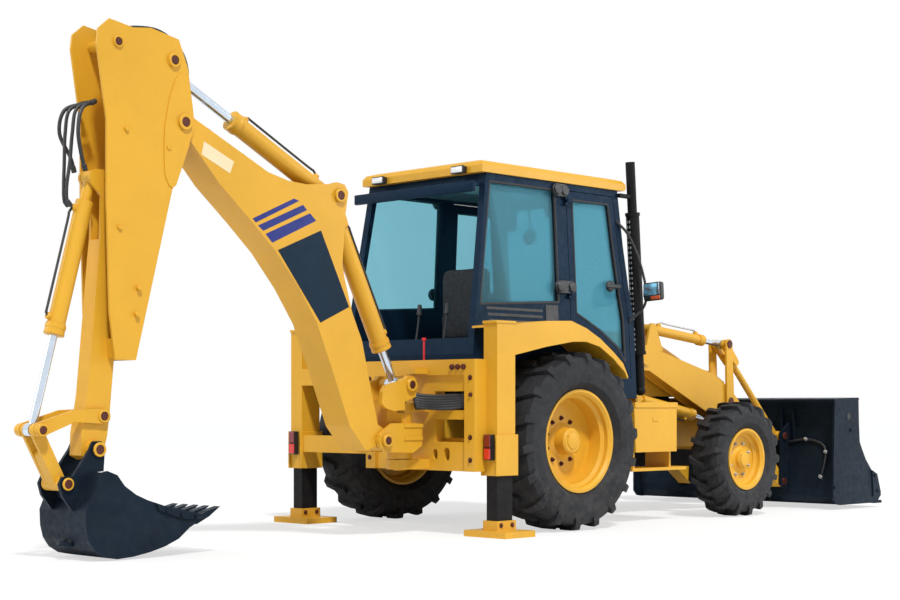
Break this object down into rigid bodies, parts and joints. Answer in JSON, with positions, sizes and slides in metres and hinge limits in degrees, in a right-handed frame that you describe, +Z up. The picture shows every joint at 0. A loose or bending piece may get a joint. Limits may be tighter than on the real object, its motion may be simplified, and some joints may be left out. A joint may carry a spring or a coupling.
{
  "type": "backhoe loader",
  "caption": "Backhoe loader with rubber tyres, a front loader bucket, a glazed cab and a folded side-shift digging arm at the rear.",
  "frame": {"origin": "on the ground under the middle of the whole machine's bounding box", "axes": "+X towards the loader bucket, +Y to the machine's left, +Z up"},
  "size_m": [8.481, 2.5, 3.25],
  "materials": {
    "yellow_paint": "satin",
    "dark_paint": "satin",
    "worn_black_steel": "matte",
    "tyre_rubber": "matte",
    "chromed_rod": "polished",
    "tinted_glass": "gloss",
    "seat_fabric": "matte",
    "grey_plastic": "matte",
    "lamp_glass": "gloss",
    "red_lens": "gloss"
  },
  "bodies": {
    "machine": {"chassis_frame": "yellow_paint", "engine_block": "dark_paint", "nose": "yellow_paint", "rear_axle": "dark_paint", "front_axle": "dark_paint", "cab_shell": "dark_paint", "cab_roof": "yellow_paint", "cab_glass": "tinted_glass", "seat": "seat_fabric", "console": "grey_plastic", "fenders": "yellow_paint", "side_tanks": "yellow_paint", "exhaust": "dark_paint", "lamps": "lamp_glass", "mirrors": "dark_paint", "rear_frame": "yellow_paint", "tail_lamps": "red_lens", "loader_tower": "yellow_paint"},
    "hood": {"hood": "yellow_paint"},
    "steer_left": {"knuckle_left": "yellow_paint"},
    "steer_right": {"knuckle_right": "yellow_paint"},
    "front_left_wheel": {"front_left_tyre": "tyre_rubber", "front_left_rim": "yellow_paint"},
    "front_right_wheel": {"front_right_tyre": "tyre_rubber", "front_right_rim": "yellow_paint"},
    "rear_left_wheel": {"rear_left_tyre": "tyre_rubber", "rear_left_rim": "yellow_paint"},
    "rear_right_wheel": {"rear_right_tyre": "tyre_rubber", "rear_right_rim": "yellow_paint"},
    "left_door": {"door_left": "dark_paint", "door_glass_left": "tinted_glass"},
    "right_door": {"door_right": "dark_paint", "door_glass_right": "tinted_glass"},
    "left_stabilizer": {"stabilizer_left": "yellow_paint", "stabilizer_leg_left": "dark_paint"},
    "right_stabilizer": {"stabilizer_right": "yellow_paint", "stabilizer_leg_right": "dark_paint"},
    "carriage": {"carriage": "yellow_paint"},
    "swing_post": {"swing_post": "yellow_paint"},
    "boom": {"boom": "yellow_paint"},
    "boom_barrel": {"boom_barrel": "yellow_paint"},
    "boom_rod": {"boom_rod": "chromed_rod"},
    "dipper": {"dipper": "yellow_paint"},
    "dipper_barrel": {"dipper_barrel": "yellow_paint"},
    "dipper_rod": {"dipper_rod": "chromed_rod"},
    "dipper_arm": {"dipper_arm": "yellow_paint"},
    "bucket_barrel": {"bucket_barrel": "yellow_paint"},
    "bucket_rod": {"bucket_rod": "chromed_rod"},
    "bucket_lever": {"bucket_lever": "yellow_paint"},
    "bucket_link": {"bucket_link": "yellow_paint"},
    "hoe_bucket": {"hoe_bucket": "worn_black_steel"},
    "loader_arm": {"loader_arm": "yellow_paint"},
    "lift_barrels": {"lift_barrels": "yellow_paint"},
    "lift_rods": {"lift_rods": "chromed_rod"},
    "tilt_barrels": {"tilt_barrels": "yellow_paint"},
    "tilt_rods": {"tilt_rods": "chromed_rod"},
    "loader_levers": {"loader_levers": "yellow_paint"},
    "loader_links": {"loader_links": "yellow_paint"},
    "loader_bucket": {"loader_bucket": "worn_black_steel"}
  },
  "joints": [
    {"name": "hood_hinge", "type": "hinge", "parent": "machine", "child": "hood", "pos_m": [1.2135, 0, 1.488], "axis": [0, -1, 0], "range_deg": [0, 45]},
    {"name": "steer_right", "type": "hinge", "parent": "machine", "child": "steer_right", "pos_m": [2.2365, -0.66, 0.477], "axis": [0, 0, 1], "range_deg": [-26, 26]},
    {"name": "steer_left", "type": "hinge", "parent": "machine", "child": "steer_left", "pos_m": [2.2365, 0.66, 0.477], "axis": [0, 0, 1], "range_deg": [-26, 26]},
    {"name": "front_left_axle", "type": "hinge", "parent": "steer_left", "child": "front_left_wheel", "pos_m": [2.2365, 0.912, 0.477], "axis": [0, 1, 0], "continuous": true},
    {"name": "rear_left_axle", "type": "hinge", "parent": "machine", "child": "rear_left_wheel", "pos_m": [0.0085, 0.938, 0.661], "axis": [0, 1, 0], "continuous": true},
    {"name": "left_door_hinge", "type": "hinge", "parent": "machine", "child": "left_door", "pos_m": [0.3875, 0.694, 1.78031], "axis": [0, -0.0523, 0.9986], "range_deg": [0, 85]},
    {"name": "left_stabilizer_slide", "type": "slide", "parent": "machine", "child": "left_stabilizer", "axis": [0, 0, 1], "range_m": [-0.1, 0.3]},
    {"name": "front_right_axle", "type": "hinge", "parent": "steer_right", "child": "front_right_wheel", "pos_m": [2.2365, -0.912, 0.477], "axis": [0, 1, 0], "continuous": true},
    {"name": "rear_right_axle", "type": "hinge", "parent": "machine", "child": "rear_right_wheel", "pos_m": [0.0085, -0.938, 0.661], "axis": [0, 1, 0], "continuous": true},
    {"name": "right_door_hinge", "type": "hinge", "parent": "machine", "child": "right_door", "pos_m": [0.3875, -0.694, 1.78031], "axis": [0, -0.0523, -0.9986], "range_deg": [0, 85]},
    {"name": "right_stabilizer_slide", "type": "slide", "parent": "machine", "child": "right_stabilizer", "axis": [0, 0, 1], "range_m": [-0.1, 0.3]},
    {"name": "carriage_slide", "type": "slide", "parent": "machine", "child": "carriage", "axis": [0, 1, 0], "range_m": [0, 0.9]},
    {"name": "boom_swing", "type": "hinge", "parent": "carriage", "child": "swing_post", "pos_m": [-1.2065, -0.45, 0.7], "axis": [0, 0, 1], "range_deg": [-90, 90]},
    {"name": "boom_lift", "type": "hinge", "parent": "swing_post", "child": "boom", "pos_m": [-1.4915, -0.45, 0.68], "axis": [0, 1, 0], "range_deg": [-80, 12]},
    {"name": "dipper_swing", "type": "hinge", "parent": "boom", "child": "dipper", "pos_m": [-3.2015, -0.45, 2.69], "axis": [0, -1, 0], "range_deg": [-85, 20]},
    {"name": "dipper_extend", "type": "slide", "parent": "dipper", "child": "dipper_arm", "axis": [-0.0953, 0, -0.9954], "range_m": [0, 0.9]},
    {"name": "bucket_curl", "type": "hinge", "parent": "dipper_arm", "child": "hoe_bucket", "pos_m": [-3.8115, -0.45, 0.66], "axis": [0, -1, 0], "range_deg": [-85, 30]},
    {"name": "boom_barrel_pivot", "type": "hinge", "parent": "boom", "child": "boom_barrel", "pos_m": [-1.8915, -0.45, 2.35], "axis": [0, -1, 0], "range_deg": [-1, 1]},
    {"name": "boom_rod_slide", "type": "slide", "parent": "boom_barrel", "child": "boom_rod", "axis": [0.4444, 0, -0.8958], "range_m": [-0.1, 0.6]},
    {"name": "dipper_barrel_pivot", "type": "hinge", "parent": "boom", "child": "dipper_barrel", "pos_m": [-1.8915, -0.45, 2.35], "axis": [0, -1, 0], "range_deg": [-5, 5]},
    {"name": "dipper_rod_slide", "type": "slide", "parent": "dipper_barrel", "child": "dipper_rod", "axis": [-0.8893, 0, 0.4574], "range_m": [-0.52, 0.13]},
    {"name": "bucket_lever_pivot", "type": "hinge", "parent": "dipper_arm", "child": "bucket_lever", "pos_m": [-3.7515, -0.45, 0.86], "axis": [0, -1, 0], "range_deg": [-63, 23]},
    {"name": "bucket_link_pivot", "type": "hinge", "parent": "bucket_lever", "child": "bucket_link", "pos_m": [-4.1965, -0.45, 0.78], "axis": [0, -1, 0], "range_deg": [-12, 31]},
    {"name": "bucket_barrel_pivot", "type": "hinge", "parent": "dipper_arm", "child": "bucket_barrel", "pos_m": [-3.7915, -0.45, 2.3], "axis": [0, -1, 0], "range_deg": [-3, 2]},
    {"name": "bucket_rod_slide", "type": "slide", "parent": "bucket_barrel", "child": "bucket_rod", "axis": [-0.2575, 0, -0.9663], "range_m": [-0.46, 0.17]},
    {"name": "loader_lift", "type": "hinge", "parent": "machine", "child": "loader_arm", "pos_m": [1.4585, 0, 1.3], "axis": [0, -1, 0], "range_deg": [-2, 75]},
    {"name": "loader_tilt", "type": "hinge", "parent": "loader_arm", "child": "loader_bucket", "pos_m": [3.4485, 0, 0.24], "axis": [0, 1, 0], "range_deg": [-30, 50]},
    {"name": "lift_barrel_pivot", "type": "hinge", "parent": "machine", "child": "lift_barrels", "pos_m": [1.4085, 0, 0.985], "axis": [0, -1, 0], "range_deg": [-3, 68]},
    {"name": "lift_rod_slide", "type": "slide", "parent": "lift_barrels", "child": "lift_rods", "axis": [0.9856, 0, -0.1688], "range_m": [-0.02, 0.37]},
    {"name": "loader_lever_pivot", "type": "hinge", "parent": "loader_arm", "child": "loader_levers", "pos_m": [2.6285, 0, 0.96], "axis": [0, -1, 0], "range_deg": [-45, 28]},
    {"name": "loader_link_pivot", "type": "hinge", "parent": "loader_levers", "child": "loader_links", "pos_m": [2.6085, 0, 1.455], "axis": [0, -1, 0], "range_deg": [-27, 43]},
    {"name": "tilt_barrel_pivot", "type": "hinge", "parent": "loader_arm", "child": "tilt_barrels", "pos_m": [1.5785, 0, 1.56], "axis": [0, -1, 0], "range_deg": [-1, 1]},
    {"name": "tilt_rod_slide", "type": "slide", "parent": "tilt_barrels", "child": "tilt_rods", "axis": [0.9948, 0, -0.1014], "range_m": [-0.23, 0.37]}
  ],
  "couplings": [
    {"joint": "steer_left", "follows": "steer_right", "ratio": 1},
    {"joint": "boom_barrel_pivot", "follows": "boom_lift", "ratio": 0.00125},
    {"joint": "boom_rod_slide", "follows": "boom_lift", "m_per_rad": -0.42132},
    {"joint": "dipper_barrel_pivot", "follows": "dipper_swing", "ratio": 0.03515},
    {"joint": "dipper_rod_slide", "follows": "dipper_swing", "m_per_rad": 0.33748},
    {"joint": "bucket_lever_pivot", "follows": "bucket_curl", "ratio": 0.72398},
    {"joint": "bucket_link_pivot", "follows": "bucket_curl", "ratio": -0.34166},
    {"joint": "bucket_barrel_pivot", "follows": "bucket_curl", "ratio": 0.02193},
    {"joint": "bucket_rod_slide", "follows": "bucket_curl", "m_per_rad": 0.30294},
    {"joint": "lift_barrel_pivot", "follows": "loader_lift", "ratio": 0.89066},
    {"joint": "lift_rod_slide", "follows": "loader_lift", "m_per_rad": 0.26866},
    {"joint": "loader_lever_pivot", "follows": "loader_tilt", "ratio": -0.8698},
    {"joint": "loader_link_pivot", "follows": "loader_tilt", "ratio": 0.83844},
    {"joint": "tilt_barrel_pivot", "follows": "loader_tilt", "ratio": -0.00343},
    {"joint": "tilt_rod_slide", "follows": "loader_tilt", "m_per_rad": 0.40383}
  ]
}
